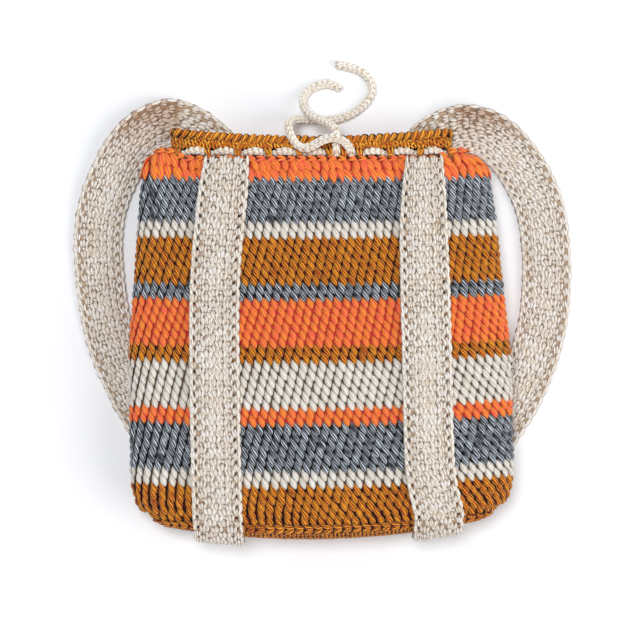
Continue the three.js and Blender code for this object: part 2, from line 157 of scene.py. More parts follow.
def wall(row, shares, inset=0):
    """Places on the wall at a row, by their share of the way round from the right side over the front."""
    x, z, length, half, deep = section(row, inset)
    at = np.mod(shares, 1) * length[-1]
    x, z = np.interp(at, length, x), np.interp(at, length, z)
    y = row_y(row, x, half)
    low, full, still, high = SPINE_ROWS
    sunk = ease(min((row - low) / (full - low), (high - row) / (high - still)))
    sunk = sunk * ease((SPINE_HALF_WIDTH + SPINE_FADE - np.abs(x)) / SPINE_FADE)
    z = BACK_LIFT + deep + z - np.where(z < 0, SPINE_SINK * sunk, 0)
    x = x + MOUTH_SHIFT * ease((row - GATHER_ROW) / (BODY_ROWS - GATHER_ROW))
    return np.stack([x, y, np.maximum(z, 0)], axis=-1)


def unit(vectors):
    """Vectors at length 1."""
    return vectors / np.maximum(np.linalg.norm(vectors, axis=-1, keepdims=True), 1e-9)


def wall_places(row, shares):
    """Places on the wall with the way to the right along it and the way out of it, seen from outside."""
    half_stitch, part_row = 0.5 / STITCHES_AROUND, 0.4
    across = unit(wall(row, shares - half_stitch) - wall(row, shares + half_stitch))
    up = wall(min(row + part_row, MOUTH_ROW), shares) - wall(max(row - part_row, 0), shares)
    out = unit(np.cross(across, up))
    return wall(row, shares), across, out


def in_frame(points):
    """Millimetres about the bag's own middle as metres in the frame."""
    return (np.asarray(points, float) + [BAG_X, BAG_Y, 0]) * MM


# Shader maths as plain expressions.


class Tint:
    """One socket of a material, so that sums and products of sockets read as maths."""

    def __init__(self, shader, socket):
        self.shader = shader
        self.socket = socket

    def math(self, operation, *values):
        return self.shader.node("ShaderNodeMath", {"operation": operation}, dict(enumerate(values)))

    def __add__(self, other):
        return self.math("ADD", self, other)

    def __radd__(self, other):
        return self.math("ADD", other, self)

    def __sub__(self, other):
        return self.math("SUBTRACT", self, other)

    def __rsub__(self, other):
        return self.math("SUBTRACT", other, self)

    def __mul__(self, other):
        return self.math("MULTIPLY", self, other)

    def __rmul__(self, other):
        return self.math("MULTIPLY", other, self)

    def __pow__(self, other):
        return self.math("POWER", self, other)

    def clamped(self):
        return self.shader.node("ShaderNodeClamp", {}, {0: self})


class Shader:
    """A material's tree of nodes around one Principled shader."""

    def __init__(self, name):
        self.material = bpy.data.materials.new(name)
        self.material.use_nodes = True
        self.tree = self.material.node_tree
        self.surface = self.tree.nodes["Principled BSDF"]

    def link(self, socket, value):
        if isinstance(value, Tint):
            self.tree.links.new(value.socket, socket)
        else:
            socket.default_value = value

    def node(self, kind, settings, sockets, output=0):
        made = self.tree.nodes.new(kind)
        for name, value in settings.items():
            setattr(made, name, value)
        for name, value in sockets.items():
            self.link(made.inputs[name], value)
        return Tint(self, made.outputs[output])

    def mix(self, share, first, second):
        sockets = {"Factor": share, 6: first, 7: second}
        return self.node("ShaderNodeMix", {"data_type": "RGBA"}, sockets, output=2)

    def attribute(self, name):
        return self.node("ShaderNodeAttribute", {"attribute_name": name}, {}, output="Fac")

    def split(self, vector):
        """The first two parts of a vector."""
        parts = self.node("ShaderNodeSeparateXYZ", {}, {0: vector}).socket.node.outputs
        return Tint(self, parts[0]), Tint(self, parts[1])

    def dressed(self, sockets):
        """The material, with values or links on the sockets of its surface."""
        for name, value in sockets.items():
            self.link(self.surface.inputs[name], value)
        return self.material


def colour(red, green, blue):
    """A colour from its 0 to 255 values on a screen."""
    shares = [value / 255 for value in (red, green, blue)]
    linear = [((v + 0.055) / 1.055) ** 2.4 if v > 0.04 else v / 12.92 for v in shares]
    return (*linear, 1)


# Yarns: the deep colour, a painted shade between strands and on their shaded parts, the darker and the
# lighter shade of the plies, the share of the lighter one, and how dark the painted shade on the sides of a
# strand and in the lines between its plies is.
YARNS = {
    "mustard": (colour(10, 1, 0), colour(156, 36, 6), colour(255, 172, 44), 0.56, 1.0, 0.5),
    # A lighter copy of the mustard for the mouth's edging, painted light: the rim is lit brighter than the
    # body.
    "lit_rim_mustard": (colour(24, 4, 1), colour(196, 78, 14), colour(255, 186, 58), 0.52, 1.0, 0.45),
    "cream": (colour(86, 62, 40), colour(222, 207, 186), colour(255, 253, 248), 0.75, 0.8, 0.3),
    "grey": (colour(1, 1, 2), colour(54, 57, 63), colour(232, 242, 254), 0.23, 1.0, 0.6),
    "orange": (colour(196, 2, 2), colour(255, 96, 84), colour(255, 170, 42), 0.46, 0.82, 0.28),
    "strap_cream": (colour(118, 60, 12), colour(222, 203, 174), colour(254, 253, 251), 0.7, 0.68, 0.2),
    "edge_cream": (colour(134, 100, 66), colour(234, 221, 202), colour(255, 253, 247), 0.7, 0.6, 0.25),
    "cord_cream": (colour(222, 184, 132), colour(255, 246, 232), colour(255, 255, 250), 0.75, 0.5, 0.15),
}

# Plies: their width, how much they turn round a strand, how strongly they differ, and how far the yarn's
# fibres and each stitch's own tone stray from the even order.
PLY_WIDTH = 0.75
PLY_TWIST = 0.4
PLY_CHANGE = 0.95
PLY_NOISE = {"Scale": 1.6, "Detail": 1}
PLY_APART = 3.7
PLY_ALONG = 0.8
MARL_CONTRAST = 2.4
MARL_BALANCE = 0.3
FIBRE_NOISE = {"Scale": 700, "Detail": 2}
FIBRE_STRAY = 0.4
TONE_TURN = 9
TONE_APART = 50
TONE_MARL = 0.2

# Painted shade and finish: how quickly the painted shade darkens a strand to its sides, how far the painted
# shade on its tucked top reaches and how dark that is on the body and on the straps' fans, then the gloss
# and the relief of the plies.
SIDE_SHADE_POWER = 0.9
TUCK_FADE = 5
PAINTED_TUCK_SHADE = 0.5
PAINTED_FAN_SHADE = 0.1
YARN_ROUGHNESS = 0.95
PLY_POLISH = 0.15
YARN_SPECULAR = 0.25
YARN_SHEEN = 0.12
PLY_RELIEF = {"Strength": 0.6, "Distance": 0.4 * MM}

# Where the straps turn over at the top of their loops, their inner side shows, turned away from the light,
# with a browner painted shade laid on it by place: how far from the middle and how far up that begins, with
# the way that it takes, in metres, and the tint.
LOOP_SHADE_SIDE = (0.107, 0.006)
LOOP_SHADE_UP = (0.138, 0.024)
LOOP_SHADE_TINT = (0.75, 0.61, 0.53, 1)


def painted_loop_shade(shader, shade, place):
    """A shade with a browner painted shade laid over it at the tops of the straps' loops, which face away
    from the light.
    """
    x, y = shader.split(place)
    beside = ((x.math("ABSOLUTE", x) - LOOP_SHADE_SIDE[0]) * (1 / LOOP_SHADE_SIDE[1])).clamped()
    above = ((y - LOOP_SHADE_UP[0]) * (1 / LOOP_SHADE_UP[1])).clamped()
    settings = {"data_type": "RGBA", "blend_type": "MULTIPLY"}
    sockets = {"Factor": beside * above, 6: shade, 7: LOOP_SHADE_TINT}
    return shader.node("ShaderNodeMix", settings, sockets, output=2)


def yarn_material(name):
    """Marled cotton yarn: lighter and darker plies run along each strand and turn a little round it, with
    painted shade in the grooves between plies, on its sides and on its tucked top.
    """
    deep, dark, light, share, edge, line = YARNS[name]
    shader = Shader(f"{name}_yarn")
    along, round_it = shader.split(shader.node("ShaderNodeUVMap", {"uv_map": "strand"}, {}))
    plies = shader.split(shader.node("ShaderNodeUVMap", {"uv_map": "plies"}, {}))[0]
    tone = shader.attribute("tone")
    place = shader.node("ShaderNodeTexCoord", {}, {}, output="Object")
    fibre = shader.node("ShaderNodeTexNoise", {}, {"Vector": place, **FIBRE_NOISE}, output="Fac")

    turn = (round_it + along * PLY_TWIST) * plies + tone * TONE_TURN + fibre * FIBRE_STRAY
    number = turn.math("FLOOR", turn)
    odd = turn.math("MODULO", number, 2)
    spot = {0: number * PLY_APART, 1: along * PLY_ALONG, 2: tone * TONE_APART}
    spot = shader.node("ShaderNodeCombineXYZ", {}, spot)
    ply = shader.node("ShaderNodeTexNoise", {}, {"Vector": spot, **PLY_NOISE}, output="Fac")
    marl = (ply - 0.5) * MARL_CONTRAST + (odd - 0.5) * PLY_CHANGE
    marl = (marl + fibre * FIBRE_STRAY + tone * TONE_MARL + (share - MARL_BALANCE)).clamped()

    # Painted shade: the colour goes towards the deep colour in the grooves between plies, on the strand's
    # sides and on its tucked top, where shade falls.
    off_middle = (turn - number - 0.5) * 2
    groove = 1 - (off_middle * off_middle) ** 2
    side = (round_it - 0.5) * 2
    painted_side_shade = ((side * side) ** SIDE_SHADE_POWER).clamped()
    tucked = (1 - along * TUCK_FADE).clamped()
    painted_tuck_shade = tucked * (PAINTED_FAN_SHADE if name == "strap_cream" else PAINTED_TUCK_SHADE)
    unshaded = ((1 - painted_side_shade * edge) * (1 - painted_tuck_shade) * (1 - line + groove * line)).clamped()
    shade = shader.mix(unshaded, deep, shader.mix(marl, dark, light))
    # Painted shade on the turned-over tops of the straps' loops.
    if name == "strap_cream":
        shade = painted_loop_shade(shader, shade, place)
    height = groove + marl * FIBRE_STRAY + fibre * FIBRE_STRAY
    sockets = {
        "Base Color": shade,
        "Roughness": YARN_ROUGHNESS - groove * PLY_POLISH,
        "Specular IOR Level": YARN_SPECULAR,
        "Sheen Weight": YARN_SHEEN,
        "Normal": shader.node("ShaderNodeBump", {}, {**PLY_RELIEF, "Height": height}),
    }
    return shader.dressed(sockets)


# The ground under the stitches, real yarn coloured in painted shade, the shade it lies in between them: its
# small loops, how light they are, and how much paler some grounds are.
LOOP_CELLS = {"Scale": 260, "Randomness": 0.7}
LOOP_TOP = 1.1
LOOP_FALL = 1.2
LOOP_LIGHT = 0.2
LOOP_RELIEF = {"Strength": 0.8, "Distance": 0.8 * MM}
PALE_GROUNDS = {"strap_cream": 0.45, "cord_cream": 0.2, "orange": 0.35}


def shaded_ground_material(name):
    """The yarn between the strands and on the inside of the cloth, coloured in painted shade, with rows of
    small loops.
    """
    deep, dark = YARNS[name][:2]
    shader = Shader(f"{name}_ground")
    place = shader.node("ShaderNodeTexCoord", {}, {}, output="Object")
    loops = shader.node("ShaderNodeTexVoronoi", {}, {"Vector": place, **LOOP_CELLS}, output="Distance")
    loops = (LOOP_TOP - loops * LOOP_FALL).clamped()
    # Painted shade: mostly the deep colour, lightened a little at the loops.
    shade = shader.mix(loops * LOOP_LIGHT + PALE_GROUNDS.get(name, 0), deep, dark)
    # Painted shade on the turned-over tops of the straps' loops.
    if name == "strap_cream":
        shade = painted_loop_shade(shader, shade, place)
    relief = shader.node("ShaderNodeBump", {}, {**LOOP_RELIEF, "Height": loops})
    return shader.dressed({"Base Color": shade, "Roughness": YARN_ROUGHNESS, "Normal": relief})


yarn_of = {name: yarn_material(name) for name in YARNS}
shaded_ground_of = {name: shaded_ground_material(name) for name in YARNS}


# Single stitches as small shapes. A strand runs down from its tucked top to its tip, with plies along it.
# A strand's finish is its rings, the corners over the top of each, how soon it narrows to its ends, where
# blunt ends have a low value, and where it is widest: below its middle for a value over 1.
FULL = (5, 7, 1.0, 1.2)
SLIM = (3, 5, 0.85, 0.95)
PLUMP = (2, 4, 0.85, 0.95)
BLUNT = (4, 6, 0.5, 0.95)
PUFF = (3, 4, 0.5, 0.95)
PLY_SWELL = 0.1
STRAND_ENDS = (0.02, 0.98)
UNDERSIDE = 0.45
FEWEST_PLIES = 3


class Shape:
    """A small mesh put together from strands, each with its own lengthways and crossways coordinates."""

    def __init__(self, name):
        self.name = name
        self.corners = []
        self.faces = []
        self.uvs = []
        self.plies = []

    def strand(self, length, width, height, lean=0.0, start=(0, 0), rise=(0, 0, 0), bow=0.0, finish=SLIM):
        """Adds one strand. rise gives its height at its top, middle and tip, lean its slope in degrees."""
        first = len(self.corners)
        slope = math.radians(lean)
        rings, tops, narrowing, skew = finish
        ways = [(t + 1) / (rings + 1) for t in range(rings)]

        def middle(t):
            down = length * (t - 0.5)
            aside = bow * math.sin(math.pi * t)
            x = start[0] + down * math.sin(slope) + aside * math.cos(slope)
            y = start[1] - down * math.cos(slope) + aside * math.sin(slope)
            z = rise[0] * (1 - t) * (1 - 2 * t) + rise[1] * 4 * t * (1 - t) + rise[2] * t * (2 * t - 1)
            return np.array([x, y, z])

        side = np.array([math.cos(slope), math.sin(slope), 0])
        self.corners += [middle(t) for t in STRAND_ENDS]
        for t in ways:
            full = math.sin(math.pi * t**skew) ** narrowing
            for k in range(tops):
                angle = math.pi * k / (tops - 1)
                swell = 1 + PLY_SWELL * (1 if k % 2 else -1)
                out = side * math.cos(angle) * width / 2 + np.array([0, 0, math.sin(angle) * height])
                self.corners.append(middle(t) + out * full * swell)
            self.corners.append(middle(t) - np.array([0, 0, UNDERSIDE * height * full]))

        around = tops + 1

        def ring(j, k):
            return first + len(STRAND_ENDS) + j * around + k % around

        def across(k):
            return k / (tops - 1)

        for j in range(rings - 1):
            for k in range(around):
                self.faces.append([ring(j, k), ring(j + 1, k), ring(j + 1, k + 1), ring(j, k + 1)])
                self.uvs.append([(ways[j + a], across(k + b)) for a, b in ((0, 0), (1, 0), (1, 1), (0, 1))])
        for k in range(around):
            self.faces.append([first, ring(0, k), ring(0, k + 1)])
            self.uvs.append([(0, across(k + 0.5)), (ways[0], across(k)), (ways[0], across(k + 1))])
            self.faces.append([first + 1, ring(rings - 1, k + 1), ring(rings - 1, k)])
            self.uvs.append([(1, across(k + 0.5)), (ways[-1], across(k + 1)), (ways[-1], across(k))])
        fresh = sum(len(face) for face in self.faces) - len(self.plies)
        self.plies += [(max(FEWEST_PLIES, round(width / PLY_WIDTH)), 0)] * fresh
        return self

    def object(self):
        """The shape as an object that the stitches are copies of."""
        mesh = bpy.data.meshes.new(self.name)
        mesh.from_pydata([tuple(c * MM) for c in self.corners], [], self.faces)
        for name, corners in (("strand", [c for face in self.uvs for c in face]), ("plies", self.plies)):
            layer = mesh.uv_layers.new(name=name)
            layer.data.foreach_set("uv", np.array(corners, np.float32).ravel())
        mesh.shade_smooth()
        return bpy.data.objects.new(self.name, mesh)


def vee(name, length, width, height, apart, lean, rise, finish=SLIM):
    """Two strands side by side whose tips meet, as one chain stitch shows."""
    shape = Shape(name)
    shape.strand(length, width, height, lean, (-apart / 2, 0), rise, finish=finish)
    shape.strand(length, width, height, -lean, (apart / 2, 0), rise, finish=finish)
    return shape


# The leaf of the body's stitch leans to the left at its top, which lies between two tips of the row above.
leaf_stitch = Shape("leaf_stitch").strand(
    length=12.6, width=5.75, height=2.5, lean=23, rise=(-2.4, -1.1, -0.5), bow=0.3, finish=FULL
).object()


# One tree of nodes sets copies of a stitch on places, and joins them to the ground they are worked into. A
# place's size is drawn by another number than its turn.
SECOND_DRAW = 7.0


def stitch_tree():
    """Copies of a stitch on places, each turned and sized a little by chance, in their yarn."""
    tree = bpy.data.node_groups.new("worked_stitches", "GeometryNodeTree")
    inputs = [
        ("Places", "NodeSocketGeometry"),
        ("Stitch", "NodeSocketObject"),
        ("Ground", "NodeSocketObject"),
        ("Yarn", "NodeSocketMaterial"),
        ("Turn", "NodeSocketFloat"),
        ("Uneven", "NodeSocketFloat"),
        ("Seed", "NodeSocketInt"),
    ]
    for name, kind in inputs:
        tree.interface.new_socket(name, in_out="INPUT", socket_type=kind)
    tree.interface.new_socket("Piece", in_out="OUTPUT", socket_type="NodeSocketGeometry")

    def node(kind, settings, sockets):
        made = tree.nodes.new(kind)
        for name, value in settings.items():
            setattr(made, name, value)
        for name, value in sockets.items():
            if isinstance(value, bpy.types.NodeSocket):
                tree.links.new(value, made.inputs[name])
            else:
                made.inputs[name].default_value = value
        return made

    given = node("NodeGroupInput", {}, {}).outputs

    def kept(name):
        made = node("GeometryNodeInputNamedAttribute", {"data_type": "FLOAT_VECTOR"}, {"Name": name})
        return made.outputs["Attribute"]

    def chance(low, high, number):
        sockets = {2: low, 3: high, "ID": number, "Seed": given["Seed"]}
        return node("FunctionNodeRandomValue", {"data_type": "FLOAT"}, sockets).outputs[1]

    def scaled(value, factor):
        return node("ShaderNodeMath", {"operation": "MULTIPLY"}, {0: value, 1: factor}).outputs[0]

    number = node("GeometryNodeInputIndex", {}, {}).outputs[0]
    settings = {"primary_axis": "Z", "secondary_axis": "X"}
    facing = node("FunctionNodeAxesToRotation", settings, {0: kept("out"), 1: kept("across")})
    angle = scaled(chance(-1.0, 1.0, number), given["Turn"])
    turn = node("FunctionNodeAxisAngleToRotation", {}, {"Axis": (0, 0, 1), "Angle": angle})
    sockets = {"Rotation": facing.outputs[0], "Rotate By": turn.outputs[0]}
    turned = node("FunctionNodeRotateRotation", {"rotation_space": "LOCAL"}, sockets)
    spread = scaled(chance(-1.0, 1.0, scaled(number, SECOND_DRAW)), given["Uneven"])
    grown = node("ShaderNodeMath", {"operation": "ADD"}, {0: spread, 1: 1.0})
    sockets = {0: kept("size"), "Scale": grown.outputs[0]}
    size = node("ShaderNodeVectorMath", {"operation": "SCALE"}, sockets)
    stitch = node("GeometryNodeObjectInfo", {}, {"Object": given["Stitch"], "As Instance": True})
    sockets = {
        "Points": given["Places"],
        "Instance": stitch.outputs["Geometry"],
        "Rotation": turned.outputs[0],
        "Scale": size.outputs[0],
    }
    copies = node("GeometryNodeInstanceOnPoints", {}, sockets)
    real = node("GeometryNodeRealizeInstances", {}, {"Geometry": copies.outputs[0]})
    dyed = node("GeometryNodeSetMaterial", {}, {"Geometry": real.outputs[0], "Material": given["Yarn"]})
    ground = node("GeometryNodeObjectInfo", {}, {"Object": given["Ground"]})
    joined = node("GeometryNodeJoinGeometry", {}, {0: ground.outputs["Geometry"]})
    tree.links.new(dyed.outputs[0], joined.inputs[0])
    node("NodeGroupOutput", {}, {0: joined.outputs[0]})
    return tree


STITCH_TREE = stitch_tree()
INPUT = {item.name: item.identifier for item in STITCH_TREE.interface.items_tree}


def worked(name, stitch, yarn, places, ground=None, turn=3.0, uneven=0.06, seed=1):
    """A piece: copies of a stitch on places, worked into a ground that becomes part of it."""
    points, across, out, size = (np.asarray(v, float).reshape(-1, 3) for v in places)
    mesh = bpy.data.meshes.new(f"{name}_places")
    mesh.from_pydata(in_frame(points), [], [])
    for key, values in (("across", across), ("out", out), ("size", size)):
        layer = mesh.attributes.new(key, "FLOAT_VECTOR", "POINT")
        layer.data.foreach_set("vector", values.astype(np.float32).ravel())
    layer = mesh.attributes.new("tone", "FLOAT", "POINT")
    layer.data.foreach_set("value", draw.random(len(points)).astype(np.float32))
    holder = bpy.data.objects.new(f"{name}_places", mesh)
    bpy.context.scene.collection.objects.link(holder)
    modifier = holder.modifiers.new("stitches", "NODES")
    modifier.node_group = STITCH_TREE
    modifier[INPUT["Stitch"]] = stitch
    modifier[INPUT["Ground"]] = ground
    modifier[INPUT["Yarn"]] = yarn_of[yarn]
    modifier[INPUT["Turn"]] = math.radians(turn)
    modifier[INPUT["Uneven"]] = uneven
    modifier[INPUT["Seed"]] = seed
    made = plain_mesh(name, holder)
    holder.modifiers.remove(modifier)
    bpy.data.objects.remove(holder)
    if ground is not None:
        bpy.data.objects.remove(ground)
    return placed(name, made)


def plain_mesh(name, holder):
    """What an object's modifiers make, as a plain mesh."""
    depsgraph = bpy.context.evaluated_depsgraph_get()
    made = bpy.data.meshes.new_from_object(
        holder.evaluated_get(depsgraph), preserve_all_data_layers=True, depsgraph=depsgraph
    )
    made.name = name
    return made


# What lies on the floor keeps this gap to it.
FLOOR_GAP = 0.05


def placed(name, mesh):
    """A piece's object at the origin. What would sink into the floor is pressed flat on it."""
    co = np.zeros(3 * len(mesh.vertices), np.float32)
    mesh.vertices.foreach_get("co", co)
    co[2::3] = np.maximum(co[2::3], FLOOR_GAP * MM)
    mesh.vertices.foreach_set("co", co)
    mesh.update()
    made = bpy.data.objects.new(name, mesh)
    bpy.context.scene.collection.objects.link(made)
    return made


def grid_mesh(name, rings, material, joined_along):
    """A closed surface through rings of places, all closed loops. The last ring may join the first."""
    rings = np.asarray(rings, float)
    count, around = rings.shape[:2]
    last = count if joined_along else count - 1

    def index(j, i):
        return (j % count) * around + i % around

    faces = [
        [index(j, i), index(j, i + 1), index(j + 1, i + 1), index(j + 1, i)]
        for j in range(last)
        for i in range(around)
    ]
    if not joined_along:
        faces.append([index(0, i) for i in reversed(range(around))])
        faces.append([index(count - 1, i) for i in range(around)])
    mesh = bpy.data.meshes.new(name)
    mesh.from_pydata(in_frame(rings.reshape(-1, 3)), [], faces)
    facing_out(mesh)
    mesh.uv_layers.new(name="strand")
    mesh.materials.append(material)
    mesh.shade_smooth()
    return bpy.data.objects.new(name, mesh)


def facing_out(mesh):
    """Turns the faces of a closed surface outwards."""
    shell = bmesh.new()
    shell.from_mesh(mesh)
    bmesh.ops.recalc_face_normals(shell, faces=shell.faces)
    shell.to_mesh(mesh)
    shell.free()


def finished(piece, slot, *nodes):
    """Rides a piece on the bag in place of its plain solids."""
    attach(piece, "root")
    if nodes:
        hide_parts(*nodes)


# The eyelet round between the body and the edging, and its posts.
EYELET_COUNT = 40
EYELET_SHIFT = 13
CLEARANCE = 0.3
RIB_HEIGHT = 0.8
EYELET_ROWS = (BODY_ROWS + CLEARANCE / ROW_HEIGHT, EDGING_ROW + RIB_HEIGHT / ROW_HEIGHT)
EXIT_LEFT_EYELET = 9
EXIT_RIGHT_EYELET = 8
RIM_STEPS = 152
rim_line = wall(EDGING_ROW, np.linspace(0, 1, RIM_STEPS + 1), WALL / 2)
MOUTH_LENGTH = np.linalg.norm(np.diff(rim_line, axis=0), axis=1).sum()


def post_share(post):
    """A post's share of the way round the mouth."""
    return np.asarray(post, float) / EYELET_COUNT - EYELET_SHIFT / MOUTH_LENGTH


# The body: leaf stitches on a thin wall coloured in painted shade, row by row.
GROUND_DEPTH = 2.7
GROUND_AROUND = 96
LEAF_STRAY = 0.2


def band_ground(name, yarn, start, rows):
    """A band's wall from under its leaves to its inside."""
    shares = -np.arange(GROUND_AROUND) / GROUND_AROUND
    outer = [(row, GROUND_DEPTH) for row in np.linspace(start, start + rows, rows + 1)]
    inner = [(start + rows, WALL), (start, WALL)]
    rings = []
    for row, depth in outer + inner:
        points, _, out = wall_places(row, shares)
        rings.append(points - out * depth)
    return grid_mesh(name, rings, shaded_ground_of[yarn], joined_along=True)


def leaf_row(row, drift, size=(1, 1, 1), spread=0, bunch=0):
    """One row of leaves. Near the mouth they bunch up below each outside post and fan out from it."""
    shares = -(np.arange(STITCHES_AROUND) + drift) / STITCHES_AROUND
    off_post = np.pi * EYELET_COUNT * (post_share(0) - shares)
    shares = shares + bunch * np.sin(off_post) / (np.pi * EYELET_COUNT)
    points, across, out = wall_places(row, shares)
    angle = (math.radians(spread) * np.sin(off_post))[:, None]
    across = across * np.cos(angle) + np.cross(out, across) * np.sin(angle)
    points = points + draw.normal(0, LEAF_STRAY, points.shape)
    return points, across, out, np.tile(np.array(size, float), (len(points), 1))


def whole(places):
    """Places at full size."""
    points, across, out = places
    return points, across, out, np.ones_like(points)


def gathered(*sets):
    """Several sets of places as one."""
    return [np.concatenate(column) for column in zip(*sets)]


start = 0
for node, yarn, rows in STRIPES[:-1]:
    ground = band_ground(f"{node}_ground", yarn, start, rows)
    places = gathered(*(leaf_row(row + 0.5, ROW_DRIFT * row) for row in range(start, start + rows)))
    finished(worked(f"{node}_stitches", leaf_stitch, yarn, places, ground, seed=start), yarn, node)
    start += rows

# The gathered top band: two rows of long, uneven leaves and a chain of flat loops along its upper edge.
# Each row of leaves has its rows above the band's start, its leaves' height beside the body's, how many
# degrees they fan out and how much they bunch up, and its rise at the bag's two shoulders.
TOP_LEAVES = [(0.25, 1.28, 5, 0.15, 3.5), (1.85, 1.2, 12, 0.35, 4.5)]
TOP_LEAF_WIDTH = 1.2
TOP_LEAF_DEPTH = 1.1
TOP_UNEVEN = {"turn": 9, "uneven": 0.12}
TOP_LOOPS = 64
TOP_LOOP_ROW = BODY_ROWS - 0.15
TOP_LOOP_SINK = 0.6
SHOULDER_FROM = 98
SHOULDER_WAY = 16
SHOULDER_RISE = 6
SHOULDER_STRETCH = 0.3


def shoulder(points):
    """How much of the gathered band's rise at its two ends a place has."""
    return ease((np.abs(points[:, 0] - MOUTH_SHIFT) - SHOULDER_FROM) / SHOULDER_WAY)


loop_stitch = vee(
    "loop_stitch", length=9.5, width=2.9, height=1.5, apart=2.3, lean=12, rise=(-0.7, 0.2, -0.5)
).object()
node, yarn, rows = STRIPES[-1]
top_rows = []
for up, tall, spread, bunch, rise in TOP_LEAVES:
    size = (TOP_LEAF_WIDTH, tall, TOP_LEAF_DEPTH)
    points, across, out, size = leaf_row(start + up, ROW_DRIFT * (start + up), size, spread, bunch)
    share = shoulder(points)
    points[:, 1] += rise * share
    size[:, 1] *= 1 + SHOULDER_STRETCH * share
    top_rows.append((points, across, out, size))
ground = band_ground(f"{node}_ground", yarn, start, rows)
places = gathered(*top_rows)
leaves = worked(f"{node}_stitches", leaf_stitch, yarn, places, ground, seed=start, **TOP_UNEVEN)
finished(leaves, yarn, node)
points, across, out = wall_places(TOP_LOOP_ROW, np.arange(TOP_LOOPS) / TOP_LOOPS)
points[:, 1] += SHOULDER_RISE * shoulder(points)
places = whole((points - out * TOP_LOOP_SINK, np.cross(out, across), out))
finished(worked(f"{node}_loops", loop_stitch, yarn, places, **TOP_UNEVEN), yarn, node)


# Lines that cords and straps follow: the steps of each curve, and those along the finished line.
CURVE_STEPS = 16
LINE_STEP = 1.0


def smooth_line(keys):
    """Even steps on a smooth curve through keys, measured along the first three columns."""
    keys = np.asarray(keys, float)
    held = np.concatenate([[2 * keys[0] - keys[1]], keys, [2 * keys[-1] - keys[-2]]])
    gaps = np.linalg.norm(np.diff(held[:, :3], axis=0), axis=1) ** 0.5
    t = np.linspace(0, 1, CURVE_STEPS, endpoint=False)[:, None]
    curve = []
    for k in range(len(keys) - 1):
        p0, p1, p2, p3 = held[k : k + 4]
        d0, d1, d2 = gaps[k : k + 3]
        leave = d1 * ((p1 - p0) / d0 - (p2 - p0) / (d0 + d1)) + p2 - p1
        reach = d1 * ((p3 - p2) / d2 - (p3 - p1) / (d1 + d2)) + p2 - p1
        curve.append(p1 + leave * t * (1 - t) ** 2 - reach * t**2 * (1 - t) + (p2 - p1) * ease(t))
    curve = np.concatenate([*curve, keys[-1:]])
    length = np.concatenate([[0], np.cumsum(np.linalg.norm(np.diff(curve[:, :3], axis=0), axis=1))])
    at = np.linspace(0, length[-1], max(2, round(length[-1] / LINE_STEP) + 1))
    return np.stack([np.interp(at, length, column) for column in curve.T], axis=1), at


def carried(line, start):
    """The way along a line, and two ways out of it that are carried along without twisting."""
    along = unit(np.gradient(line, axis=0))
    side = [np.asarray(start, float)]
    for way in along:
        side.append(unit(side[-1] - way * np.dot(side[-1], way)))
    side = np.array(side[1:])
    return along, side, np.cross(along, side)


def linked(along, out):
    """The way across a stitch that lies on a line, with its tip ahead."""
    return unit(np.cross(out, along))


# The drawstring: a round cord of chain stitches, in columns round a core. The columns start a share of a
# stitch in, each a little after the one before. The free ends first rise straight out of their eyelets.
CORD_DIAMETER = 6.5
CORD_CORE = 2.15
CORD_SEAT = 2.25
CORD_PITCH = 4.1
CORD_COLUMNS = 4
CORD_CORNERS = 10
CORD_START = 0.3
CORD_STAGGER = 0.6
CORD_EXIT = 0.7 * CORD_DIAMETER
cord_link = vee(
    "cord_link", length=6.2, width=2.6, height=1.1, apart=2.1, lean=15, rise=(-0.7, 0.0, -0.4)
).object()


def cord_piece(name, line, at, fullness):
    """A cord along a line, with its fullness at each place of it."""
    along, side, over = carried(line, (1, 0, 0))

    def spoke(number, count):
        """The way out of the line at one of some even steps round it."""
        angle = 2 * math.pi * number / count
        return side * math.cos(angle) + over * math.sin(angle)

    spokes = [spoke(corner, CORD_CORNERS) for corner in range(CORD_CORNERS)]
    core = np.stack([line + way * fullness[:, None] * CORD_CORE for way in spokes], axis=1)
    core = grid_mesh(f"{name}_core", core, shaded_ground_of["cord_cream"], joined_along=False)

    count = int(at[-1] / CORD_PITCH)
    points, across, out, size = [], [], [], []
    for column in range(CORD_COLUMNS):
        shift = CORD_START + CORD_STAGGER * (column / CORD_COLUMNS)
        pick = np.searchsorted(at, (np.arange(count) + shift) * at[-1] / count).clip(0, len(at) - 1)
        radial = spoke(column, CORD_COLUMNS)[pick]
        points.append(line[pick] + radial * fullness[pick, None] * CORD_SEAT)
        across.append(linked(along[pick], radial))
        out.append(radial)
        size.append(np.repeat(fullness[pick, None], 3, axis=1))
    places = (np.concatenate(v) for v in (points, across, out, size))
    return worked(name, cord_link, "cord_cream", places, core, turn=4)


def eyelet_places(post, inset):
    """Places half way up the eyelet round at posts, counted in steps round the mouth."""
    low, high = (wall(row, post_share(post), inset) for row in EYELET_ROWS)
    across, out = wall_places(sum(EYELET_ROWS) / 2, post_share(post))[1:]
    return (low + high) / 2, across, out


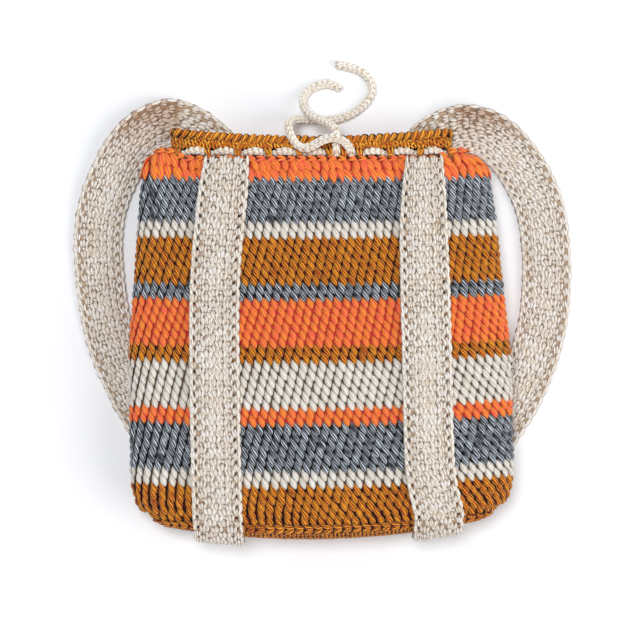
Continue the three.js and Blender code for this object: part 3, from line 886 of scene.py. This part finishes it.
# The free ends' routes from above their eyelets to their tips, which lie on the floor.
LEFT_END_ROUTE = [
    (16.4, 139.5, 38.4),
    (16.8, 145.5, 38.3),
    (15.6, 150.4, 36.6),
    (11.5, 154, 32.5),
    (4, 158, 26.5),
    (-3.9, 163, 20),
    (-8.5, 170, 12),
    (-9, 176.5, 6.6),
    (-5, 182.6, 4),
    (3.1, 187, 3.4),
    (11.6, 188.2, 3.4),
    (20.8, 184.4, 3.4),
]
RIGHT_END_ROUTE = [
    (24.5, 138, 41.6),
    (15, 142.5, 46.6),
    (6, 140.8, 46.2),
    (-2, 137, 43),
    (-8.6, 135.2, 40.6),
    (-14.4, 138.4, 39),
    (-18.6, 145, 38.4),
    (-20.4, 150.8, 35.6),
    (-20.8, 154.4, 30),
    (-18.6, 157.8, 22),
    (-13, 159.6, 14),
    (-4, 159.4, 8.4),
    (8, 159, 5),
    (21.6, 160.8, 3.7),
    (32.4, 165.5, 3.4),
    (41.9, 173.6, 3.4),
    (46.4, 181.9, 3.4),
    (44.7, 190, 3.4),
    (38.5, 197, 3.4),
    (29, 200.9, 3.4),
    (18.7, 203, 3.4),
]
cord_ends = [
    ("drawstring_end_left", EXIT_LEFT_EYELET, LEFT_END_ROUTE),
    ("drawstring_end_right", EXIT_RIGHT_EYELET, RIGHT_END_ROUTE),
]
for node, number, route in cord_ends:
    middle = eyelet_places([number + 0.5], WALL / 2)[0][0]
    line, at = smooth_line([middle, middle + [0, 0, CORD_EXIT], *route])
    piece = cord_piece(f"{node}_cord", line, at, np.ones(len(at)))
    finished(piece, "cord_cream", node)
    in_frame(middle)
    in_frame(line)

# The laced run passes behind the outside posts and over the inside ones, and is squeezed thin behind them.
# Two outside posts are added: one between the cord's exits, and one that hides the post at the left end.
LACE_SWING = 2.2
LACE_FULL = 0.92
LACE_THIN = 0.68
HIDDEN_POST = 21
ADDED_POSTS = (9, 20.6)
passed = np.arange(EXIT_LEFT_EYELET + 1, EXIT_RIGHT_EYELET + EYELET_COUNT + 1)
middles, _, out = eyelet_places(passed, WALL / 2)
behind = (passed % 2 == 0) | (passed == HIDDEN_POST)
middles = middles + out * np.where(behind, -LACE_SWING, LACE_SWING)[:, None]
first, last = eyelet_places([passed[0] - 0.5, passed[-1] + 0.5], WALL / 2)[0]
line, at = smooth_line([first, *middles, last])
post_at = passed[0] - 0.5 + at / at[-1] * len(passed)
fullness = LACE_THIN + (LACE_FULL - LACE_THIN) * np.sin(np.pi * post_at / 2) ** 2
finished(cord_piece("drawstring_laced_cord", line, at, fullness), "cord_cream", "drawstring_laced")


# The mouth's edging: posts, a band of knots, and strands that turn over the top edge like a rope.
RIM_STITCHES = 84
KNOT_HEIGHTS = (1.2, 3.8, 6.2)
KNOT_INSET = 1.0
KNOT_SHIFT = 0.4
POST_INSET = 0.6
ROPE_STITCHES = 76
ROPE_DEPTH = 3.4
ROPE_TILT = 0.55
ROPE_LIFT = 1.0
EDGING_CORE_ROWS = (EDGING_ROW - 0.1, EDGING_ROW + 0.9, MOUTH_ROW - 0.3)
EDGING_CORE_INSET = 1.3
post_stitch = vee(
    "post_stitch", length=12.5, width=3.1, height=1.9, apart=2.6, lean=6, rise=(-0.9, 0.4, -0.9)
).strand(length=4.6, width=2.6, height=1.6, lean=70, start=(0, -3.4), rise=(-0.2, 0.9, -0.2)).object()
knot_stitch = vee(
    "knot_stitch", length=5.0, width=2.6, height=1.7, apart=2.7, lean=16, rise=(-0.7, 0.0, -0.6)
).strand(length=4.8, width=2.2, height=1.5, lean=72, start=(0.4, 2.4), rise=(-0.5, 0.1, -0.5)).object()
rope_stitch = Shape("rope_stitch").strand(
    length=11.2, width=5.4, height=3.6, lean=-40, rise=(-0.6, 0, -1.4), finish=BLUNT
).object()


def edging_ground():
    """The edging's core, from its outside over its top to its inside."""
    shares = -np.arange(GROUND_AROUND) / GROUND_AROUND
    outer = [wall(row, shares, EDGING_CORE_INSET) for row in EDGING_CORE_ROWS]
    inner = [wall(row, shares, WALL - EDGING_CORE_INSET) for row in reversed(EDGING_CORE_ROWS)]
    return grid_mesh("edging_ground", outer + inner, shaded_ground_of["mustard"], joined_along=True)


def turned_in(places):
    """Places that face into the bag instead of out of it."""
    points, across, out, size = places
    return points, -across, -out, size


def rim_places(up, inset, shift, count=RIM_STITCHES):
    """Places round the edging at a height over its lower edge."""
    row = EDGING_ROW + up / ROW_HEIGHT
    shares = -(np.arange(count) + shift) / count
    _, across, out = wall_places(row, shares)
    return wall(row, shares, inset), across, out


def rope_places(way):
    """Places along the top edge, way 1 for its outer side and -1 for its inner side."""
    height = EDGING_HEIGHT - ROPE_DEPTH
    points, across, out = rim_places(height, WALL / 2, 0.5 * (way < 0), ROPE_STITCHES)
    facing = unit(out * way + ROPE_TILT * np.cross(out, across))
    return points + facing * ROPE_LIFT, across * way, facing


outside_posts = [*range(0, EYELET_COUNT, 2), *ADDED_POSTS]
inside_posts = [post for post in range(1, EYELET_COUNT, 2) if post != HIDDEN_POST]
posts = gathered(
    whole(eyelet_places(outside_posts, POST_INSET)),
    turned_in(whole(eyelet_places(inside_posts, WALL - POST_INSET))),
)
knots = [whole(rim_places(up, KNOT_INSET, KNOT_SHIFT * j)) for j, up in enumerate(KNOT_HEIGHTS)]
knots += [turned_in(whole(rim_places(up, WALL - KNOT_INSET, 0))) for up in KNOT_HEIGHTS[1:]]
knots = gathered(*knots)
rope = gathered(whole(rope_places(1)), whole(rope_places(-1)))
# The edging is worked in the lighter copy of the mustard, which is painted light.
edging = [
    worked("mouth_edging_band", knot_stitch, "lit_rim_mustard", knots, edging_ground(), turn=16, uneven=0.14),
    worked("mouth_edging_posts", post_stitch, "lit_rim_mustard", posts, turn=18, uneven=0.1),
    worked("mouth_edging_rope", rope_stitch, "lit_rim_mustard", rope, turn=7, uneven=0.1),
]
for piece in edging:
    finished(piece, "mustard", "mouth_edging")


# The base: a shallow dish of plain stitches with a chain laid round its edge. Its shares go from 0 in its
# middle to 1 at its edge.
BASE_DEPTH = PROFILE_DEPTHS[0]
BASE_CORE_SINK = 0.6
BASE_INNER_SHARES = (0.1, 0.6, 0.98)
BASE_OUTER_SHARES = (0.98, 0.9, 0.7, 0.4, 0.1)
PANEL_STITCH = 6.5
PANEL_ROW = 5.6
PANEL_FIRST = 2.6
PANEL_LAST = 1
PANEL_SINK = 0.9
PANEL_SHARE = 0.95
SLOPE_STEP = 0.1
RIDGE_LINKS = 74
RIDGE_TILT = 0.25
RIDGE_LIFT = 0.2
ridge_link = vee(
    "ridge_link", length=10.6, width=4.5, height=2.4, apart=4.0, lean=17, rise=(-1.0, 0.4, -0.5)
).object()
plain_stitch = vee(
    "plain_stitch", length=6.8, width=3.4, height=1.5, apart=3.0, lean=13, rise=(-0.6, 0.0, -0.5)
).object()


def base_bulge(share):
    """How far the base bulges out at a share of the way to its edge."""
    return BASE_BULGE * np.maximum(0, 1 - np.asarray(share, float) ** 2)


def base_ground():
    """The base's core, from the middle of its inside round its edge to the middle of its outside."""
    edge = wall(0, -np.arange(GROUND_AROUND) / GROUND_AROUND)
    middle = BACK_LIFT + BASE_DEPTH / 2

    def ring(share, lift):
        x, y, z = edge.T
        return np.stack([x * share, y - base_bulge(share) + lift, middle + (z - middle) * share], axis=1)

    inner = [ring(share, -BASE_SEAM) for share in BASE_INNER_SHARES]
    outer = [ring(share, BASE_CORE_SINK - WALL) for share in BASE_OUTER_SHARES]
    return grid_mesh("base_ground", inner + outer, shaded_ground_of["mustard"], joined_along=False)


def ridge_places():
    """Places for the chain round the base's edge."""
    points, across, out = wall_places(0, -np.arange(RIDGE_LINKS) / RIDGE_LINKS)
    up = np.cross(out, across)
    facing = unit(out - RIDGE_TILT * up)
    return points - up * (WALL / 2) + out * RIDGE_LIFT, linked(across, facing), facing


def panel_places():
    """Places for the panel's stitches, in rows where every other one is half a stitch over."""
    half, deep = PROFILE_WIDTHS[0] / 2, BASE_DEPTH / 2

    def height(x, z):
        reach = np.abs(x / half) ** SECTION_POWER + np.abs(z / deep) ** SECTION_POWER
        share = reach ** (1 / SECTION_POWER)
        return row_y(0, x, half) - WALL + PANEL_SINK - base_bulge(np.minimum(share, 1)), share

    columns = np.arange(-half, half, PANEL_STITCH)
    rows = np.arange(PANEL_FIRST - deep, deep - PANEL_LAST, PANEL_ROW)
    x, z = (v.ravel() for v in np.meshgrid(columns, rows))
    x = x + PANEL_STITCH / 2 * (np.round((z + deep) / PANEL_ROW) % 2)
    y, share = height(x, z)
    slope_x = (height(x + SLOPE_STEP, z)[0] - y) / SLOPE_STEP
    slope_z = (height(x, z + SLOPE_STEP)[0] - y) / SLOPE_STEP
    out = unit(np.stack([slope_x, -np.ones_like(x), slope_z], axis=1))
    across = unit(np.array([1.0, 0, 0]) - out * out[:, :1])
    points = np.stack([x, y, BACK_LIFT + deep + z], axis=1)
    keep = share < PANEL_SHARE
    return points[keep], across[keep], out[keep]


base_pieces = [
    worked("base_panel", plain_stitch, "mustard", whole(panel_places()), base_ground(), turn=8, uneven=0.1),
    worked("base_ridge", ridge_link, "mustard", whole(ridge_places()), turn=4),
]
for piece in base_pieces:
    finished(piece, "mustard", "base")


# The straps: a thin band with small gaps along its edges, covered in fans of plump strands in a chequered
# order. The outer fans are narrower, so that the gaps show beside them. Places across go from -1 to 1.
STRAP_WIDTH = 39
STRAP_THICKNESS = 4
STRAP_ROW = 4.4
STRAP_COLUMN = 5.4
FAN_COLUMNS = (-2, -1, 0, 1, 2)
FAN_STRAY = 0.25
FAN_LIFT = 0.15
OUTER_FROM = 0.42
OUTER_WIDTH = 0.75
SIDE_COLUMNS = (-3, 3)
SIDE_STRAY = 0.2
EDGE_PLACE = 0.93
EDGE_LIFT = -0.1
BAND_THICKNESS = 1.8
BAND_SHARE = 0.97
BAND_COLUMN = 0.35
EDGE_GAP = (0.69, 0.86)
GAP_STEPS = 4

# The least height of a strap's solid on the bag's front, the corners of each of its stations, and the share
# of a strap after which it is off the front, with both its faces to be seen.
FRONT_HEIGHT = 30
STATION_CORNERS = 6
FLOOR_SHARE = 0.42


def fan(name, width, middle, apart, lean):
    """Three strands that meet at their tips and spread out at their tops."""
    shape = vee(name, 8.0, width, height=2.5, apart=apart, lean=lean, rise=(-0.5, 0.4, -0.9), finish=PUFF)
    return shape.strand(
        length=8.6, width=middle, height=3.3, lean=3, start=(-0.2, 0.5), rise=(-0.3, 0.7, -0.9), finish=PUFF
    )


side_stitch = fan("side_stitch", width=2.6, middle=3.0, apart=3.4, lean=10).object()
moss_shape = fan("moss_stitch", width=4.3, middle=4.3, apart=6.0, lean=19)
moss_shape.strand(
    length=6.0, width=3.4, height=1.6, lean=52, start=(0.2, -4.4), rise=(-0.9, -0.4, -0.9), finish=PLUMP
)
moss_shape.strand(
    length=5.0, width=3.0, height=1.4, lean=-38, start=(3.6, -3.6), rise=(-0.9, -0.5, -0.9), finish=PLUMP
)
moss_stitch = moss_shape.object()
edge_stitch = Shape("edge_stitch").strand(
    length=12.4, width=3.4, height=1.9, rise=(-0.5, 0.1, -0.5), bow=0.5
).object()


def strap_rings(node):
    """A strap's stations, read back along its plain solid.

    Each holds the strap's middle, left and right, and then the way that it faces at those three.
    """
    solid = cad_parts[node].data
    corners = np.array([v.co for v in solid.vertices]) / MM - [BAG_X, BAG_Y, 0]
    places, index = np.unique(np.round(corners, 2), axis=0, return_inverse=True)
    near = [set() for _ in places]
    for face in solid.polygons:
        met = {int(index.ravel()[v]) for v in face.vertices}
        for corner in met:
            near[corner] |= met
    on_front = np.flatnonzero(places[:, 2] > FRONT_HEIGHT)
    ring = set(on_front[np.argsort(-places[on_front, 1])[:STATION_CORNERS]].tolist())
    seen, rows = set(), []
    across, facing = np.array([1.0, 0, 0]), np.array([0, 0, 1.0])
    while ring:
        seen |= ring
        points = places[sorted(ring)]
        axis = np.linalg.svd(points - points.mean(axis=0))[2][0]
        across = axis * np.sign(axis @ across)
        pairs = points[np.argsort(points @ across)].reshape(3, 2, 3)
        ways = pairs[:, 1] - pairs[:, 0]
        ways = unit(ways * np.sign(ways @ facing)[:, None])
        facing = unit(ways.mean(axis=0))
        first_under = pairs[:, 0] @ facing < pairs[:, 1] @ facing
        under = np.where(first_under[:, None], pairs[:, 0], pairs[:, 1])
        left, middle, right = under + ways * STRAP_THICKNESS / 2
        rows.append(np.concatenate([middle, left, right, ways[1], ways[0], ways[2]]))
        ring = set().union(*(near[c] for c in ring)) - seen
    return np.array(rows)


class Strap:
    """A strap's surface, by the way along it in millimetres and across it from -1 to 1."""

    def __init__(self, node):
        self.rows, self.at = smooth_line(strap_rings(node))
        self.length = self.at[-1]
        self.count = round(self.length / STRAP_ROW)
        self.pitch = self.length / self.count

    def bent(self, along, across, first):
        """A value across the strap that passes through its middle, left and right columns."""
        columns = self.rows[:, first : first + 9]
        at = np.stack([np.interp(along, self.at, column) for column in columns.T], axis=-1)
        middle, left, right = at[..., :3], at[..., 3:6], at[..., 6:]
        a = np.asarray(across, float)[..., None]
        return middle + a * (right - left) / 2 + a * a * ((left + right) / 2 - middle)

    def point(self, along, across):
        return self.bent(along, across, 0)

    def facing(self, along, across):
        return unit(self.bent(along, across, 9))

    def places(self, along, across, way, lift):
        """Places on one face, way 1 for the face that looks out on the bag's front, -1 for the other."""
        along, across = np.broadcast_arrays(along, across)
        ahead = unit(self.point(along + LINE_STEP, across) - self.point(along - LINE_STEP, across))
        facing = self.facing(along, across)
        left, right = (self.point(along, np.full_like(across, side, float)) for side in (-1, 1))
        width = np.linalg.norm(right - left, axis=-1)
        size = np.stack([width / STRAP_WIDTH, np.ones_like(width), np.ones_like(width)], axis=-1)
        points = self.point(along, across) + facing * way * (BAND_THICKNESS / 2 + lift)
        return points, unit(np.cross(facing, ahead)), facing * way, size


def chequer(strap, columns, low, loose):
    """Every other place in some of a strap's columns, from low on, as the ways along it and across it.

    loose is how far they stray from an even order, in millimetres.
    """
    rows, columns = np.meshgrid(np.arange(strap.count), columns, indexing="ij")
    along = (rows + 0.5) * strap.pitch
    keep = ((rows + columns) % 2 == 0) & (along >= low)
    across = columns * STRAP_COLUMN / (STRAP_WIDTH / 2)
    along = along[keep] + draw.normal(0, loose, keep.sum())
    across = across[keep] + draw.normal(0, loose, keep.sum()) / (STRAP_WIDTH / 2)
    return along, across


def strap_band(name, strap, open_to):
    """The strap's ground, two steps a row, open at the gaps along its edges on the bag's front."""
    along = np.concatenate([[0], (np.arange(2 * strap.count) / 2 + 0.25) * strap.pitch, [strap.length]])
    right = [BAND_COLUMN, *EDGE_GAP, 1]
    left = [-place for place in reversed(right)]
    across = np.array([*left, 0, *right]) * BAND_SHARE
    grid = strap.point(*np.meshgrid(along, across, indexing="ij"))
    wide = len(across)
    gap_columns = (1, wide - 3)
    faces = [
        [i * wide + k, i * wide + k + 1, (i + 1) * wide + k + 1, (i + 1) * wide + k]
        for i in range(len(along) - 1)
        for k in range(wide - 1)
        if not (i % GAP_STEPS == 1 and k in gap_columns and along[i] < open_to)
    ]
    mesh = bpy.data.meshes.new(name)
    mesh.from_pydata(in_frame(grid.reshape(-1, 3)), [], faces)
    mesh.uv_layers.new(name="strand")
    mesh.materials.append(shaded_ground_of["strap_cream"])
    mesh.shade_smooth()
    sheet = bpy.data.objects.new(name, mesh)
    bpy.context.scene.collection.objects.link(sheet)
    thick = sheet.modifiers.new("thickness", "SOLIDIFY")
    thick.thickness = BAND_THICKNESS * MM
    thick.offset = 0
    made = plain_mesh(name, sheet)
    bpy.data.objects.remove(sheet)
    facing_out(made)
    return placed(name, made)


for node in ("strap_left", "strap_right"):
    strap = Strap(node)
    floor_from = FLOOR_SHARE * strap.length
    band = strap_band(f"{node}_band", strap, floor_from)
    edges = np.concatenate([np.arange(0, strap.count, 2) + 0.5] * 2) * strap.pitch
    sides = np.repeat([-EDGE_PLACE, EDGE_PLACE], len(edges) // 2)
    faces = []
    for way, low in ((1, 0), (-1, floor_from)):
        along, across = chequer(strap, FAN_COLUMNS, low, FAN_STRAY)
        *seats, size = strap.places(along, across, way, FAN_LIFT)
        size[:, 0] *= np.where(np.abs(across) > OUTER_FROM, OUTER_WIDTH, 1)
        fans = (*seats, size)
        side_fans = strap.places(*chequer(strap, SIDE_COLUMNS, low, SIDE_STRAY), way, FAN_LIFT)
        rims = strap.places(edges, sides, way, EDGE_LIFT)
        faces.append((fans, side_fans, rims))
    fans, side_fans, rims = (gathered(*sets) for sets in zip(*faces))
    stitches = [
        worked(f"{node}_fans", moss_stitch, "strap_cream", fans, turn=8, uneven=0.1),
        worked(f"{node}_side_fans", side_stitch, "strap_cream", side_fans, turn=6, uneven=0.1),
        worked(f"{node}_edges", edge_stitch, "edge_cream", rims, turn=3),
    ]
    finished(band, "strap_cream", node)
    for piece in stitches:
        finished(piece, "strap_cream")


# The camera looks straight down, as it does in the photograph.
VIEW_CENTRE = (-2.7, -2.1)
VIEW_HEIGHT = 2500
VIEW_WIDTH = 512
VIEW_TURN = -1.2
VIEW_REACH = 20000
SENSOR_WIDTH = 36

camera_data = bpy.data.cameras.new("camera")
camera_data.sensor_width = SENSOR_WIDTH
camera_data.lens = SENSOR_WIDTH * VIEW_HEIGHT / VIEW_WIDTH
camera_data.clip_end = VIEW_REACH * MM
camera = bpy.data.objects.new("camera", camera_data)
camera.location = (VIEW_CENTRE[0] * MM, VIEW_CENTRE[1] * MM, VIEW_HEIGHT * MM)
camera.rotation_euler = (0, 0, math.radians(VIEW_TURN))
bpy.context.scene.collection.objects.link(camera)
bpy.context.scene.camera = camera


# A pale floor, white to the camera where no shadow falls, under soft light.
FLOOR_HALF = 3000
FLOOR_COLOUR = (0.93, 0.93, 0.94, 1)
FLOOR_SEEN = (0.92, 0.93, 0.96, 1)
FLOOR_ROUGHNESS = 0.9
FLOOR_SPECULAR = 0.1
FLOOR_GLOW = 0.02
BLACK = (0, 0, 0, 1)
WHITE = (1, 1, 1, 1)


def floor_material():
    """A pale, matt floor that glows a little to the camera alone."""
    shader = Shader("pale_floor")
    seen = shader.node("ShaderNodeLightPath", {}, {}, output="Is Camera Ray")
    sockets = {
        "Base Color": shader.mix(seen, FLOOR_COLOUR, FLOOR_SEEN),
        "Roughness": FLOOR_ROUGHNESS,
        "Specular IOR Level": FLOOR_SPECULAR,
        "Emission Color": shader.mix(seen, BLACK, WHITE),
        "Emission Strength": FLOOR_GLOW,
    }
    return shader.dressed(sockets)


floor_mesh = bpy.data.meshes.new("floor")
corners = np.array([(-1, -1, 0), (1, -1, 0), (1, 1, 0), (-1, 1, 0)]) * FLOOR_HALF * MM
floor_mesh.from_pydata(corners, [], [[0, 1, 2, 3]])
floor_mesh.materials.append(floor_material())
floor = bpy.data.objects.new("floor", floor_mesh)
bpy.context.scene.collection.objects.link(floor)

# The world lights the bag from all round, and is a plain backdrop to what looks straight at it.
SKY_COLOUR = (0.96, 0.98, 1.0, 1)
FILL_LIGHT = 0.3
world = bpy.data.worlds.new("studio")
world.use_nodes = True
bpy.context.scene.world = world
nodes, links = world.node_tree.nodes, world.node_tree.links
sky = nodes["Background"]
sky.inputs["Color"].default_value = SKY_COLOUR
sky.inputs["Strength"].default_value = FILL_LIGHT
backdrop = nodes.new("ShaderNodeBackground")
backdrop.inputs["Strength"].default_value = 1
rays = nodes.new("ShaderNodeLightPath").outputs
looks = rays["Is Camera Ray"]
for kind in ("Is Glossy Ray", "Is Transmission Ray"):
    either = nodes.new("ShaderNodeMath")
    either.operation = "MAXIMUM"
    links.new(looks, either.inputs[0])
    links.new(rays[kind], either.inputs[1])
    looks = either.outputs[0]
choice = nodes.new("ShaderNodeMixShader")
links.new(looks, choice.inputs[0])
links.new(sky.outputs[0], choice.inputs[1])
links.new(backdrop.outputs[0], choice.inputs[2])
links.new(choice.outputs[0], nodes["World Output"].inputs["Surface"])


# Soft lights: where they come from, in degrees from the mouth's end round to the right and up from the
# floor, then their strength, their spread in degrees and their tint.
LIGHTS = {
    "key_light": (-32, 78, 1.85, 24, (0.98, 0.99, 1.0)),
    "side_light": (112, 40, 1.2, 42, (1.0, 0.95, 0.9)),
}
for name, (azimuth, elevation, strength, spread, tint) in LIGHTS.items():
    data = bpy.data.lights.new(name, "SUN")
    data.energy = strength
    data.angle = math.radians(spread)
    data.color = tint
    lamp = bpy.data.objects.new(name, data)
    lamp.rotation_euler = (math.radians(90 - elevation), 0, math.radians(180 - azimuth))
    bpy.context.scene.collection.objects.link(lamp)

bpy.context.scene.view_settings.view_transform = "Standard"
